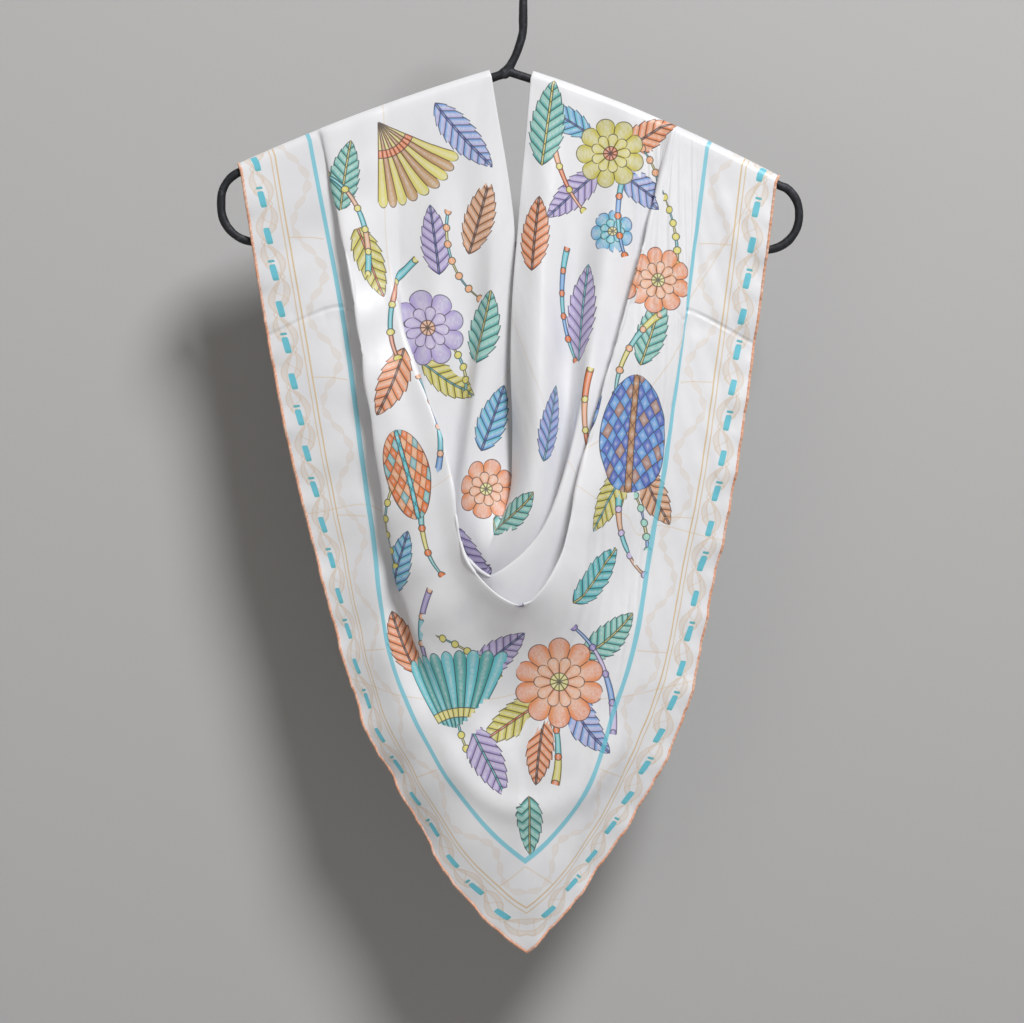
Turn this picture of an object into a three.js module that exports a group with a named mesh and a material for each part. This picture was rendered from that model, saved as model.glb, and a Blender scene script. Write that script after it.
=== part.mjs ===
// A silk square scarf, folded corner to corner into a triangle and hung over a wrought-iron hanger.
// Millimetres, +Z up, +X to the viewer's right, -Y towards the viewer.
// The origin is the inner top of the hook, where a rail or a peg carries the hanger.
import * as THREE from 'three';

// The hanger, bent from one round rod.
const ROD_RADIUS = 3.2;
const ROD_SIDES = 10;
const HOOK_RADIUS = 19;
const HOOK_SWEEP = 215;
const HOOK_STEPS = 14;
const STEM_STRAIGHT = 32;
const STEM_BEND = [[18.7, -57.4], [16.4, -66.5], [12.9, -75.8], [8.2, -84.1], [4.4, -87.5]];
const LOOP_TOP_RADIUS = 21.6;
const LOOP_TOP_STEPS = 5;
const LOOP_LOW_STEPS = 6;
const ARM_STEPS = 9;
const LOOP_TAIL = 8;
const WELD_GAP = 0.35;
// Each arm runs along a chord through its inner and outer points, bows upwards by its bulge and starts at the weld.
const ARMS = {
  left: { sign: -1, start: 3, inner: [-3.5, -90.6], outer: [-185.7, -158.6], bulge: 3.5, loopX: -198.4, loopRadius: 25.2, barZ: -208.7 },
  right: { sign: 1, start: 11, inner: [22, -90.6], outer: [204.5, -168.6], bulge: 4.7, loopX: 217.5, loopRadius: 24.5, barZ: -214.4 },
};

// The cloth. Centres of the walls, measured from the axis of the rod.
const CLOTH = 1;
const LAYER_STEP = 1.55;
const ROD_CLEARANCE = 0.7;
const INNER_LAYER = ROD_RADIUS + ROD_CLEARANCE + CLOTH / 2;
const OUTER_LAYER = INNER_LAYER + LAYER_STEP;
const TAIL_THICKNESS = 2.5;
const TAIL_LAYER = INNER_LAYER - CLOTH / 2 + TAIL_THICKNESS / 2;
const SEAM_GAP = 0.3;
const NECK_SEAM = 2 * SEAM_GAP;
const SIDE_COLUMNS = 18;
const FRONT_STEPS = 3;
const BACK_STEPS = 4;

// Rows of the front layer from the neck fold down to the hem. Each hangs in a V from the left arm, past its foot, to the
// right arm. x and out (towards the viewer) are given at the arm and at a quarter, a half and three quarters of the way
// down; foot is x, z and out. round says how much of a U the V is. splay, where it is given, is how fast x runs away from
// a pointed foot on the left and on the right, in millimetres for each quarter.
const FRONT_ROWS = [
  {
    name: 'neck fold', round: 0.6, foot: [11.5, -394.4, 14],
    left: { x: [-4.2, 11.6, 13.5, 11.5], out: [6, 7, 8, 10] },
    right: { x: [24.8, 15.9, 10.2, 11.5], out: [6, 12, 19, 19] },
  },
  {
    name: 'first ridge', round: 0.8, foot: [-5, -429, 26],
    left: { x: [-19.4, -3.5, -13.6, -20.8], out: [6, 11, 13, 16] },
    right: { x: [45.4, 34.6, 31.8, 24.6], out: [8, 21, 33, 36] },
  },
  {
    name: 'first valley', round: 0.85, foot: [-10, -437.6, 10],
    left: { x: [-33.8, -19.4, -30.2, -31.6], out: [6, 8, 8, 8] },
    right: { x: [72.1, 50.5, 43.3, 30.3], out: [6, 10, 17, 17] },
  },
  {
    name: 'second ridge', round: 0.9, foot: [-5, -447.7, 40],
    left: { x: [-48.2, -41, -51.8, -33.8], out: [6.5, 9, 10, 12] },
    right: { x: [95.8, 74.2, 57, 34.6], out: [8, 19, 37, 43] },
  },
  {
    name: 'second valley', round: 0.95, foot: [5.8, -460.7, 14],
    left: { x: [-62.6, -56.8, -56.8, -37.4], out: [7, 9, 7.5, 8] },
    right: { x: [119, 103, 74.2, 51.2], out: [6, 9, 15, 18] },
  },
  {
    name: 'rim', round: 1, foot: [15.9, -467.9, 58],
    left: { x: [-78.4, -71.9, -35.9, -20.8], out: [7, 15, 38, 52] },
    right: { x: [126.1, 90.8, 61.3, 44], out: [9, 27, 42, 54] },
  },
  {
    name: 'under the rim', round: 1, foot: [14.5, -478, 45],
    left: { x: [-88, -77, -45, -27], out: [8, 17, 37, 46] },
    right: { x: [128.5, 97, 69, 50], out: [8.5, 24, 36, 46] },
  },
  {
    name: 'panel', round: 0.85, foot: [15.9, -508, 38],
    left: { x: [-104, -86, -64, -40], out: [8, 20, 34, 40] },
    right: { x: [131.8, 108, 80, 58], out: [8, 23, 33, 42] },
  },
  {
    name: 'lap edge', round: 0.6, foot: [15.9, -549.2, 30],
    left: { x: [-124, -98, -80, -52], out: [8, 24, 28, 30] },
    right: { x: [137.6, 123.2, 95.8, 67], out: [7.5, 20, 28, 32] },
  },
  {
    name: 'under the lap', round: 0.5, foot: [16.6, -594, 34],
    left: { x: [-127.5, -86, -70, -52], out: [6, 9, 14, 24] },
    right: { x: [144.1, 130.4, 103, 76], out: [7.5, 18, 24, 30] },
  },
  {
    name: 'printed line', round: 0.12, foot: [20.2, -650.8, 28], splay: [150, 150],
    left: { x: [-134, -108.6, -90.6, -66.9], out: [6, 10, 14, 24] },
    right: { x: [150.6, 132.6, 113.1, 87.2], out: [7, 14, 22, 30] },
  },
  {
    name: 'hem', round: 0, foot: [21.7, -718.4, 16], splay: [190, 140],
    left: { x: [-183.5, -160.5, -128.8, -82], out: [6, 6, 6, 8] },
    right: { x: [200.2, 182.2, 157.8, 120.3], out: [6, 6, 6, 9] },
  },
];

// Rows of the rear layer below the neck fold. It hangs plainly behind the front one and ends a little higher.
const BACK_ROWS = [
  {
    name: 'below the neck', round: 0.75, foot: [14, -440, 4.6],
    left: { x: [-26, -18, -20, -22], out: [4.4, 4.4, 4.4, 4.4] },
    right: { x: [52, 48, 50, 44], out: [4.4, 4.4, 4.4, 4.4] },
  },
  {
    name: 'middle', round: 0.5, foot: [14, -560, 4.6],
    left: { x: [-92, -76, -62, -40], out: [4.4, 4.4, 4.4, 4.4] },
    right: { x: [118, 104, 88, 62], out: [4.4, 4.4, 4.4, 4.4] },
  },
  {
    name: 'hem', round: 0, foot: [20.4, -694, 4.6], splay: [165, 125],
    left: { x: [-163, -141, -111, -67], out: [4.4, 4.4, 4.4, 4.4] },
    right: { x: [180, 163, 138, 102], out: [4.4, 4.4, 4.4, 4.4] },
  },
];

// The turns of the neck fold, from behind the cloth over its edge, in degrees.
const FOLD_TURNS = [120, 80, 40];

// The corners that hang behind: where each begins and ends along its arm, and its tip.
const TAILS = {
  left: { neckX: -4.2, hemX: -183.5, tip: [-95, -408], folds: 3 },
  right: { neckX: 24.8, hemX: 200.2, tip: [92, -411], folds: 2 },
};
const TAIL_RIPPLE = 9;
const RIPPLE_RISE = 1.15;
const RIPPLE_FADE = 4;
const TAIL_TIP_WIDTH = 7;
const TAIL_COLUMNS = 18;
const TAIL_ROWS = 14;
const TAIL_EDGE_SLANT = 1.6;
const HEM_RADIUS = 1;
const REAR_HEM_RADIUS = 0.6;
const TAIL_HEM_RADIUS = 0.95;
const HEM_SIDES = 6;

const DROP_POWER = 1.7;
const STATIONS = 4;
const WRAP_STEPS = [0.25, 0.5, 0.75, 0.98, 1];
const WRAP_END = 90;
const TAIL_TURNS = [96, 98, 120, 150, 180];
const rad = THREE.MathUtils.degToRad;
const lerp = THREE.MathUtils.lerp;

const iron = new THREE.MeshStandardMaterial({ color: 0x1c1d20, roughness: 0.5, metalness: 0.6 });
const silk = new THREE.MeshStandardMaterial({ color: 0xe9e9ec, roughness: 0.42, metalness: 0 });
const hemSilk = new THREE.MeshStandardMaterial({ color: 0xe3a184, roughness: 0.6, metalness: 0 });

const scarf = new THREE.Group();

function add(name, geometry, material) {
  const mesh = new THREE.Mesh(geometry, material);
  mesh.name = name;
  scarf.add(mesh);
}

// A point of the part from x, z and its distance towards the viewer.
const place = (x, z, out) => new THREE.Vector3(x, -out, z);

// The axis of an arm at x, and the unit vector square to it, upwards.
function armAxis(arm, x) {
  const share = (x - arm.inner[0]) / (arm.outer[0] - arm.inner[0]);
  const z = lerp(arm.inner[1], arm.outer[1], share) + arm.bulge * 4 * share * (1 - share);
  const chord = arm.outer[0] - arm.inner[0];
  const slope = (arm.outer[1] - arm.inner[1]) / chord + (arm.bulge * 4 * (1 - 2 * share)) / chord;
  return { z, up: new THREE.Vector3(-slope, 0, 1).normalize() };
}

// A point on the rod's wrap: turn 0 faces the viewer, 90 is the top and 180 the back.
function wrapPoint(arm, x, radius, turn) {
  const { z, up } = armAxis(arm, x);
  const forward = new THREE.Vector3(0, -1, 0).multiplyScalar(radius * Math.cos(rad(turn)));
  return place(x, z, 0).add(forward).addScaledVector(up, radius * Math.sin(rad(turn)));
}

// A cubic from one value to the next with the slope given at each end.
function blend(from, slopeFrom, to, slopeTo, t) {
  const t2 = t * t;
  const t3 = t2 * t;
  return (2 * t3 - 3 * t2 + 1) * from + (t3 - 2 * t2 + t) * slopeFrom + (3 * t2 - 2 * t3) * to + (t3 - t2) * slopeTo;
}

// A smooth value along evenly spaced ones. slopes holds any that are set by hand, by index and side of it.
function along(values, position, slopes = {}) {
  const last = values.length - 1;
  const i = Math.min(Math.floor(position), last - 1);
  const free = (k) => (values[Math.min(k + 1, last)] - values[Math.max(k - 1, 0)]) / (k > 0 && k < last ? 2 : 1);
  const slopeFrom = slopes[`after ${i}`] ?? free(i);
  const slopeTo = slopes[`before ${i + 1}`] ?? free(i + 1);
  return blend(values[i], slopeFrom, values[i + 1], slopeTo, position - i);
}

// A point of a row. position runs from 0 at the left arm through 4 at the foot to 8 at the right arm; below 0 and
// above 8 it goes on over the rod, one for the quarter turn to its top.
function rowPoint(row, position, restOut, layer) {
  const onLeft = position <= STATIONS;
  const side = onLeft ? row.left : row.right;
  const arm = onLeft ? ARMS.left : ARMS.right;
  const past = Math.max(-position, position - 2 * STATIONS);
  if (past > 0) {
    const turn = WRAP_END * past;
    const radius = layer + (side.out[0] - layer) * Math.cos(rad(turn)) ** 2;
    return wrapPoint(arm, side.x[0], radius, turn);
  }
  const xs = [...row.left.x, row.foot[0], ...[...row.right.x].reverse()];
  const outs = [...row.left.out, row.foot[2], ...[...row.right.out].reverse()];
  const down = (onLeft ? position : 2 * STATIONS - position) / STATIONS;
  const drop = (1 - row.round) * down + row.round * (1 - (1 - down) ** DROP_POWER);
  const z = lerp(armAxis(arm, side.x[0]).z, row.foot[1], drop);
  const splay = row.splay ? { [`before ${STATIONS}`]: row.splay[0], [`after ${STATIONS}`]: row.splay[1] } : {};
  const plumb = { 'after 0': 0, [`before ${2 * STATIONS}`]: 0 };
  return place(along(xs, position, splay), z, Math.max(along(outs, position, plumb), restOut));
}

// Positions across a row: the turn over each rod, then even steps down to the foot and up again.
function positionsAcross(stepsPerSide) {
  const positions = [];
  for (let i = 0; i <= 2 * stepsPerSide; i += 1) positions.push((i * STATIONS) / stepsPerSide);
  WRAP_STEPS.forEach((past) => {
    positions.unshift(-past);
    positions.push(2 * STATIONS + past);
  });
  return positions;
}

// A grid of points through the rows: one column for each position, steps points from each row to the next. Where edge
// is given, it stands before the first row.
function drape(rows, positions, steps, restOut, layer, edge) {
  return positions.map((position, i) => {
    const knots = rows.map((row) => rowPoint(row, position, restOut, layer));
    if (edge) knots.unshift(edge[i]);
    const curve = new THREE.CatmullRomCurve3(knots, false, 'centripetal');
    const column = [];
    for (let j = 0; j <= (knots.length - 1) * steps; j += 1) {
      const point = curve.getPoint(j / ((knots.length - 1) * steps));
      if (position >= 0 && position <= 2 * STATIONS) point.y = Math.min(point.y, -restOut);
      column.push(point);
    }
    return column;
  });
}

// The direction of a line of points at the middle one; the shorter step counts for more, as on a circle.
function heading(before, point, after) {
  const sum = new THREE.Vector3();
  if (before) {
    const step = point.clone().sub(before);
    sum.addScaledVector(step, 1 / step.lengthSq());
  }
  if (after) {
    const step = after.clone().sub(point);
    sum.addScaledVector(step, 1 / step.lengthSq());
  }
  return sum.normalize();
}

const acrossAt = (grid, i, j) => heading(grid[i - 1]?.[j], grid[i][j], grid[i + 1]?.[j]);

// Unit normals of a grid, on the side that faces the viewer or away from the rod.
function normalsOf(grid) {
  return grid.map((column, i) => column.map((point, j) => (
    heading(column[j - 1], point, column[j + 1]).cross(acrossAt(grid, i, j)).normalize())));
}

// A closed wall between two grids of points, the outer one facing along its normals.
function slab(outer, inner) {
  const columns = outer.length;
  const rows = outer[0].length;
  const vertices = [...outer.flat(), ...inner.flat()];
  const at = (i, j) => i * rows + j;
  const under = columns * rows;
  const faces = [];
  const quad = (a, b, c, d) => faces.push(a, b, c, a, c, d);
  for (let i = 0; i < columns - 1; i += 1) {
    for (let j = 0; j < rows - 1; j += 1) {
      quad(at(i, j), at(i, j + 1), at(i + 1, j + 1), at(i + 1, j));
      quad(under + at(i, j), under + at(i + 1, j), under + at(i + 1, j + 1), under + at(i, j + 1));
    }
    quad(at(i, 0), at(i + 1, 0), under + at(i + 1, 0), under + at(i, 0));
    quad(at(i, rows - 1), under + at(i, rows - 1), under + at(i + 1, rows - 1), at(i + 1, rows - 1));
  }
  for (let j = 0; j < rows - 1; j += 1) {
    quad(at(0, j), under + at(0, j), under + at(0, j + 1), at(0, j + 1));
    quad(at(columns - 1, j), at(columns - 1, j + 1), under + at(columns - 1, j + 1), under + at(columns - 1, j));
  }
  const geometry = new THREE.BufferGeometry().setFromPoints(vertices);
  geometry.setIndex(faces);
  geometry.computeVertexNormals();
  return geometry;
}

function wall(grid, thickness) {
  const normals = normalsOf(grid);
  const moved = (side) => grid.map((column, i) => column.map((point, j) => (
    point.clone().addScaledVector(normals[i][j], (side * thickness) / 2))));
  return slab(moved(1), moved(-1));
}

// Draws the last row of a grid back from the hem's centre line, so that the rolled hem lies just beyond the wall.
function clearOfHem(grid, hemRadius) {
  const ends = grid.map((column) => column[column.length - 1].clone());
  grid.forEach((column, i) => {
    const inward = column[column.length - 2].clone().sub(ends[i]).normalize();
    const neighbours = [ends[i - 1], ends[i + 1]].filter(Boolean);
    const sines = neighbours.map((end) => end.clone().sub(ends[i]).normalize().cross(inward).length());
    column[column.length - 1].addScaledVector(inward, (hemRadius + SEAM_GAP) / Math.min(...sines));
  });
  return grid;
}

// The round turn of the neck fold: rows that run from behind, over the edge, to the first row of the front layer.
function withNeckFold(grid, normals) {
  const radius = LAYER_STEP / 2;
  return grid.map((column, i) => {
    const normal = normals[i][0];
    const edge = normal.clone().cross(acrossAt(grid, i, 0)).normalize();
    const centre = column[0].clone().addScaledVector(normal, -radius);
    const turned = FOLD_TURNS.map((turn) => centre.clone()
      .addScaledVector(edge, radius * Math.sin(rad(turn)))
      .addScaledVector(normal, radius * Math.cos(rad(turn))));
    return [...turned, ...column];
  });
}

// A smooth curve whose steps follow its own points, so that tight turns keep their points.
class Route extends THREE.CatmullRomCurve3 {
  getPointAt(t, target) {
    return this.getPoint(t, target);
  }

  getTangentAt(t, target) {
    return this.getTangent(t, target);
  }
}

// A round bar through its points, with a section at each.
function bar(points, radius, sides) {
  const path = new Route(points, false, 'centripetal');
  const steps = points.length - 1;
  const section = new THREE.Shape();
  for (let i = 0; i < sides; i += 1) {
    const turn = (2 * Math.PI * i) / sides;
    const corner = [radius * Math.cos(turn), radius * Math.sin(turn)];
    if (i === 0) section.moveTo(...corner);
    else section.lineTo(...corner);
  }
  section.closePath();
  return new THREE.ExtrudeGeometry(section, { steps, bevelEnabled: false, extrudePath: path });
}

// Points on an arc in the plane of the hanger, from one angle to another in degrees.
function arc(centreX, centreZ, radius, from, to, count) {
  return Array.from({ length: count + 1 }, (_, i) => {
    const angle = rad(lerp(from, to, i / count));
    return place(centreX + radius * Math.cos(angle), centreZ + radius * Math.sin(angle), 0);
  });
}

function addHanger() {
  const crownZ = ROD_RADIUS - HOOK_RADIUS;
  const hook = arc(0, crownZ, HOOK_RADIUS, HOOK_SWEEP, 0, HOOK_STEPS);
  hook.push(place(HOOK_RADIUS, crownZ - STEM_STRAIGHT / 2, 0), place(HOOK_RADIUS, crownZ - STEM_STRAIGHT, 0));
  STEM_BEND.forEach(([x, z]) => hook.push(place(x, z, 0)));
  add('hanger_hook', bar(hook, ROD_RADIUS, ROD_SIDES), iron);

  const barEnds = [];
  for (const [side, arm] of Object.entries(ARMS)) {
    const points = [];
    for (let i = 0; i <= ARM_STEPS; i += 1) {
      const x = lerp(arm.start, arm.outer[0], i / ARM_STEPS);
      points.push(place(x, armAxis(arm, x).z, 0));
    }
    const { up } = armAxis(arm, arm.outer[0]);
    const topCentreX = arm.loopX - arm.sign * LOOP_TOP_RADIUS;
    const topCentreZ = arm.outer[1] - LOOP_TOP_RADIUS * up.z;
    const leaves = THREE.MathUtils.radToDeg(Math.atan2(up.z, up.x));
    const beside = arm.sign > 0 ? 0 : 180;
    points.push(...arc(topCentreX, topCentreZ, LOOP_TOP_RADIUS, leaves, beside, LOOP_TOP_STEPS).slice(1));
    const lowCentreX = arm.loopX - arm.sign * arm.loopRadius;
    const lowCentreZ = arm.barZ + arm.loopRadius;
    const below = arm.sign > 0 ? -90 : 270;
    points.push(...arc(lowCentreX, lowCentreZ, arm.loopRadius, beside, below, LOOP_LOW_STEPS));
    points.push(place(lowCentreX - arm.sign * LOOP_TAIL, arm.barZ, 0));
    add(`hanger_${side}_arm`, bar(points, ROD_RADIUS, ROD_SIDES), iron);
    barEnds.push(place(lowCentreX - arm.sign * (LOOP_TAIL + WELD_GAP), arm.barZ, 0));
  }
  add('hanger_bar', bar(barEnds, ROD_RADIUS, ROD_SIDES), iron);
}

function addFalls() {
  const positions = positionsAcross(SIDE_COLUMNS);
  const front = drape(FRONT_ROWS, positions, FRONT_STEPS, OUTER_LAYER, OUTER_LAYER);
  const frontHem = front.map((column) => column[column.length - 1].clone());
  const normals = normalsOf(front);
  add('front_fall', wall(withNeckFold(clearOfHem(front, HEM_RADIUS), normals), CLOTH), silk);
  add('front_hem', bar(frontHem, HEM_RADIUS, HEM_SIDES), hemSilk);

  const edge = front.map((column, i) => column[0].clone().addScaledVector(normals[i][0], -LAYER_STEP));
  const back = drape(BACK_ROWS, positions, BACK_STEPS, INNER_LAYER, INNER_LAYER, edge);
  const backHem = back.map((column) => column[column.length - 1].clone());
  for (const column of back) {
    column[0].addScaledVector(column[1].clone().sub(column[0]).normalize(), NECK_SEAM);
  }
  add('back_fall', wall(clearOfHem(back, REAR_HEM_RADIUS), CLOTH), silk);
  add('back_hem', bar(backHem, REAR_HEM_RADIUS, HEM_SIDES), hemSilk);
}

// A column of a tail, from its top behind the rod to the tip. It stops short of the tail's free edge by inset.
function tailColumn(side, part, layer, inset) {
  const tail = TAILS[side];
  const arm = ARMS[side];
  const shareFor = (width) => part * (1 - inset / width);
  const topWidth = Math.abs(tail.hemX - tail.neckX);
  const topShare = shareFor(topWidth);
  const topX = lerp(tail.neckX, tail.hemX, topShare);
  const column = TAIL_TURNS.map((turn) => wrapPoint(arm, topX, layer, turn));
  for (let j = 1; j <= TAIL_ROWS; j += 1) {
    const down = j / TAIL_ROWS;
    const share = shareFor(lerp(topWidth, TAIL_TIP_WIDTH, down));
    const x = lerp(tail.neckX, tail.hemX, share);
    const tipX = tail.tip[0] + arm.sign * TAIL_TIP_WIDTH * (share - 0.5);
    const swell = Math.sin((Math.PI / 2) * Math.min(down * RIPPLE_RISE, 1)) * (1 - down ** RIPPLE_FADE);
    const ripple = (TAIL_RIPPLE * swell * (1 - Math.cos(2 * Math.PI * tail.folds * share))) / 2;
    column.push(place(lerp(x, tipX, down), lerp(armAxis(arm, x).z, tail.tip[1], down), -layer - ripple));
  }
  return column;
}

function addTail(side) {
  const inset = (TAIL_HEM_RADIUS + SEAM_GAP) * TAIL_EDGE_SLANT;
  const grid = [];
  for (let i = 0; i <= TAIL_COLUMNS; i += 1) grid.push(tailColumn(side, i / TAIL_COLUMNS, TAIL_LAYER, inset));
  if (ARMS[side].sign > 0) grid.reverse();
  add(`${side}_tail`, wall(grid, TAIL_THICKNESS), silk);
  const firstLayer = ROD_RADIUS + ROD_CLEARANCE + TAIL_HEM_RADIUS;
  ['back', 'front'].forEach((layer, i) => {
    const path = tailColumn(side, 1, firstLayer + i * (2 * TAIL_HEM_RADIUS + SEAM_GAP), 0);
    add(`${side}_tail_${layer}_hem`, bar(path, TAIL_HEM_RADIUS, HEM_SIDES), hemSilk);
  });
}

addHanger();
addFalls();
addTail('left');
addTail('right');

export default scarf;
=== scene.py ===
import math

import bmesh
import bpy
import numpy as np
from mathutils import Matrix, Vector


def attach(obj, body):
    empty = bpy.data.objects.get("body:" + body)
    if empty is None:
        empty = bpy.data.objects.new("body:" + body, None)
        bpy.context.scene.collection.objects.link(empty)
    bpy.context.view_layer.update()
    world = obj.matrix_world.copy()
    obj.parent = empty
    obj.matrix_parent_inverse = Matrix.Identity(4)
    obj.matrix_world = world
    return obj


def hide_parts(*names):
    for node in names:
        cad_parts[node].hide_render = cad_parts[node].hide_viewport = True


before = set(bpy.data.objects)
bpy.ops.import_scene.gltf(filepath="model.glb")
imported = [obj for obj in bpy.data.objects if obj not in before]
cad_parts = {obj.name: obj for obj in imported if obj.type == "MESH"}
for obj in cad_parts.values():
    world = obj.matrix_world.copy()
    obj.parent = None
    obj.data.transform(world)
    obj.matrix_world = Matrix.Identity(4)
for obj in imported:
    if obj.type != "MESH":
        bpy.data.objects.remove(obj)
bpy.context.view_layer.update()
MM = 0.001

# The camera looks level at the middle of the scarf. Distances are in metres, the sensor's width in millimetres.
VIEW_DISTANCE = 2.2
VIEW_WIDTH = 0.737
SENSOR = 36
AIM = (0.0109, -0.4027)


def make_camera():
    data = bpy.data.cameras.new("portrait_camera")
    data.sensor_width = SENSOR
    data.lens = SENSOR * VIEW_DISTANCE / VIEW_WIDTH
    camera = bpy.data.objects.new("portrait_camera", data)
    camera.location = (AIM[0], -VIEW_DISTANCE, AIM[1])
    camera.rotation_euler = (math.radians(90), 0, 0)
    bpy.context.scene.collection.objects.link(camera)
    bpy.context.scene.camera = camera


make_camera()

# The hanger's rod, in millimetres. Each arm bows over a chord from inner to outer, starts at the weld, and turns
# back below through a round end that reaches end_x, down to the bar.
ROD_RADIUS = 3.2
ARMS = {
    "left": {"sign": -1, "inner": (-3.5, -90.6), "outer": (-185.7, -158.6), "bulge": 3.5,
             "start": -2, "end_x": -198.4, "end_radius": 25.2, "bar": -208.7},
    "right": {"sign": 1, "inner": (22, -90.6), "outer": (204.5, -168.6), "bulge": 4.7,
              "start": 8, "end_x": 217.5, "end_radius": 24.5, "bar": -214.4},
}
SHOULDER_RADIUS = 21.6

# The hook above the arms: its crown, its stem down to the weld, and the run and the beads of the weld.
CROWN_HEIGHT = -15.8
CROWN_RADIUS = 19
STEM = ((19, -26), (19, -36), (18.9, -47.8), (18.7, -57.4), (16.4, -66.5), (12.9, -75.8), (8.6, -83.2),
        (2.5, -88.4), (-6, -91))
WELD_RUN = ((-3, -90.4), (1.5, -88.9), (4.5, -88.2), (8, -88.2))
WELD_BEADS = (((5.2, 0, -86.8), 3.7), ((7.2, 0, -84.9), 3.4))
WELD_GRAIN = 0.9

# The two layers of silk, measured from the axis of the rod, in millimetres.
INNER_LAYER = 5.15
OUTER_LAYER = 5.95
LAYER_STEP = OUTER_LAYER - INNER_LAYER
SILK = 0.4

# The net of the cloth: each side of a row is set at four stations from the arm down, and drops steeply first.
STATIONS = 4
DROP_POWER = 1.7
CLOTH_COLUMNS = 216
CLOTH_ROWS = 212

# Rows of the front layer, from the neck fold down to the hem, in millimetres: how round the V is, its foot
# (x, z, out), and x and out from the arm down to the foot, left and right. splay is how fast x runs off from a
# pointed foot.
FRONT_ROWS = [
    {"name": "neck fold", "round": 0.6, "foot": (11.5, -394.4, 14),
     "left": ((-4.2, 11.6, 13.5, 11.5), (6, 7, 8, 10)),
     "right": ((24.8, 15.9, 10.2, 11.5), (6, 12, 19, 19))},
    {"name": "first ridge", "round": 0.8, "foot": (-5, -429, 27),
     "left": ((-19.4, -3.5, -13.6, -20.8), (6, 12, 16, 19)),
     "right": ((45.4, 34.6, 31.8, 24.6), (8, 21, 33, 36))},
    {"name": "first valley", "round": 0.85, "foot": (-8, -490, 9),
     "left": ((-33.8, -19.4, -33, -37), (6, 7, 7, 7.5)),
     "right": ((72.1, 56, 51, 41), (6, 8, 12, 12))},
    {"name": "second ridge", "round": 0.9, "foot": (-5, -447.7, 40),
     "left": ((-48.2, -41, -50, -33.8), (6.5, 11, 14, 19)),
     "right": ((95.8, 74.2, 57, 34.6), (8, 19, 34, 41))},
    {"name": "second valley", "round": 0.95, "foot": (8, -544, 12),
     "left": ((-62.6, -66, -66, -54), (7, 8, 7.5, 8)),
     "right": ((119, 105, 92, 76), (6, 8.5, 12, 12))},
    {"name": "inside of the rim", "round": 1, "foot": (13, -486, 37),
     "left": ((-71, -69, -45, -31), (7, 10, 26, 36)),
     "right": ((123, 98, 71, 54), (7.5, 18, 32, 39))},
    {"name": "rim", "round": 1, "foot": (15.9, -467.9, 58),
     "left": ((-78.4, -71.9, -35.9, -20.8), (7, 15, 38, 52)),
     "right": ((126.1, 90.8, 61.3, 44), (9, 27, 43, 55))},
    {"name": "under the rim", "round": 1, "foot": (14.5, -482, 49),
     "left": ((-88, -80, -49, -30), (8, 17, 37, 46)),
     "right": ((128.5, 99, 73, 53), (8.5, 25, 40, 49))},
    {"name": "panel", "round": 0.85, "foot": (15.9, -512, 34),
     "left": ((-104, -90, -68, -44), (8, 22, 36, 40)),
     "right": ((131.8, 110, 82, 60), (8, 23, 33, 40))},
    {"name": "lap edge", "round": 0.6, "foot": (15.9, -552, 27),
     "left": ((-124, -99, -82, -56), (8, 25, 29, 30)),
     "right": ((137.6, 123.2, 95.8, 67), (7.5, 20, 28, 32))},
    {"name": "under the lap", "round": 0.5, "foot": (16.6, -596, 34),
     "left": ((-127.5, -82, -72, -54), (6, 10, 15, 22)),
     "right": ((144.1, 130.4, 103, 76), (7.5, 18, 24, 30))},
    {"name": "printed line", "round": 0.12, "foot": (20.2, -650.8, 28), "splay": (150, 150),
     "left": ((-134, -108.6, -90.6, -66.9), (6, 10, 14, 24)),
     "right": ((150.6, 132.6, 113.1, 87.2), (7, 14, 22, 30))},
    {"name": "hem", "round": 0, "foot": (21.7, -718.4, 16), "splay": (190, 140),
     "left": ((-183.5, -160.5, -128.8, -82), (6, 6, 6, 8)),
     "right": ((200.2, 182.2, 157.8, 120.3), (6, 6, 6, 9))},
]

# The doubled corners that hang behind the arms, in millimetres; folds is how many waves run across each.
TAILS = {
    "left": {"neck_x": -4.2, "hem_x": -183.5, "tip": (-95, -408), "folds": 3},
    "right": {"neck_x": 24.8, "hem_x": 200.2, "tip": (92, -411), "folds": 2},
}
TAIL_RIPPLE = 9
TAIL_TIP_WIDTH = 7
TAIL_COLUMNS = 46
TAIL_ROWS = 100
OVER_ROD_ROWS = 9

# The flat square, in metres: a runs along the fold from corner to corner, b square to it. The neck and the hem
# cross the arms at their cuts. The rear layer stops at a share of the way from the broad line to the front hem.
HALF_DIAGONAL = 0.6364
NECK_CUT = 0.314
HEM_CUT = 0.432
LINE_INSET = 0.050
REAR_STOP = 0.68


def arm_axis(arm, x):
    """Height of an arm's axis at x, and the unit vector square to it as (x, z)."""
    chord = arm["outer"][0] - arm["inner"][0]
    share = (x - arm["inner"][0]) / chord
    z = arm["inner"][1] + (arm["outer"][1] - arm["inner"][1]) * share + arm["bulge"] * 4 * share * (1 - share)
    slope = (arm["outer"][1] - arm["inner"][1] + arm["bulge"] * 4 * (1 - 2 * share)) / chord
    length = np.sqrt(1 + slope**2)
    return z, (-slope / length, 1 / length)


def wrap_point(arm, x, radius, turn):
    """Points over the rod, as (x, y, z): turn 0 faces the viewer, 90 is the top and 180 the back."""
    z, up = arm_axis(arm, x)
    angle = np.radians(turn)
    lift = radius * np.sin(angle)
    return np.stack([x + up[0] * lift, -radius * np.cos(angle), z + up[1] * lift], -1)


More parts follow.
